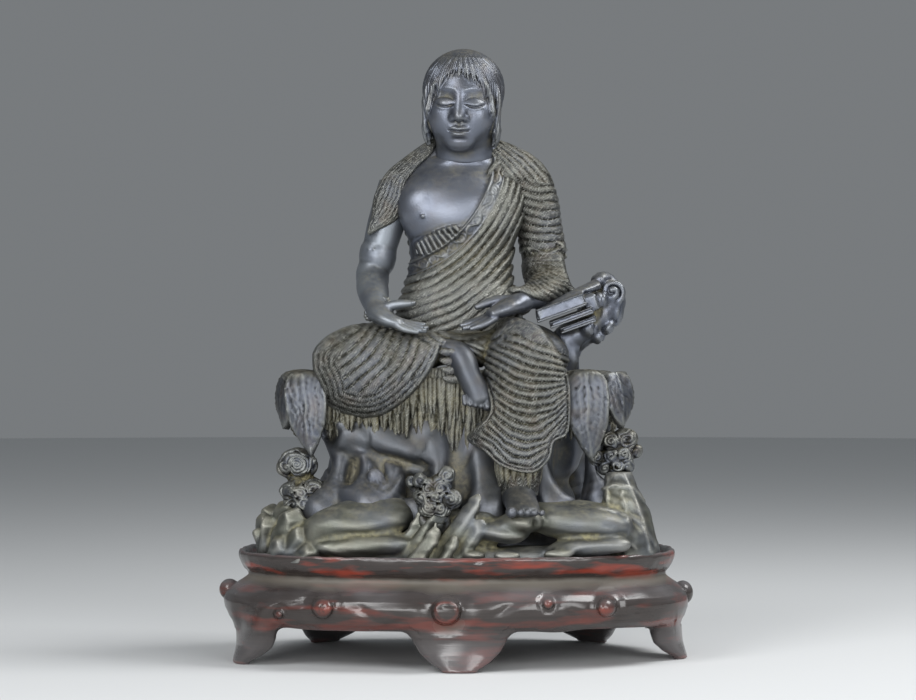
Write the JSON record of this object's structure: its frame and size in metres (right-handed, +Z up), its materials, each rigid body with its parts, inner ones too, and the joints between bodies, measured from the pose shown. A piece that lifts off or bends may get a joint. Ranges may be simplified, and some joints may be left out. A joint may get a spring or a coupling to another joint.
{
  "type": "bronze seated immortal statue",
  "caption": "Cast bronze immortal seated in relaxed pose on a leaf-covered rock, on a carved five-footed hardwood tray stand, made to stand on a desk or shelf.",
  "frame": {"origin": "middle of the footprint, on the surface that the stand's feet rest on", "axes": "+Z up, +X to the viewer's right when facing the figure, -Y towards the viewer"},
  "size_m": [0.284, 0.2004, 0.3635],
  "materials": {
    "bronze": "dark grey-brown patinated bronze with dusty recesses and worn crests",
    "hardwood": "dark polished hardwood, red-brown where worn"
  },
  "bodies": {
    "root": {"bronze_statue": "bronze", "wood_stand": "hardwood"}
  },
  "joints": []
}
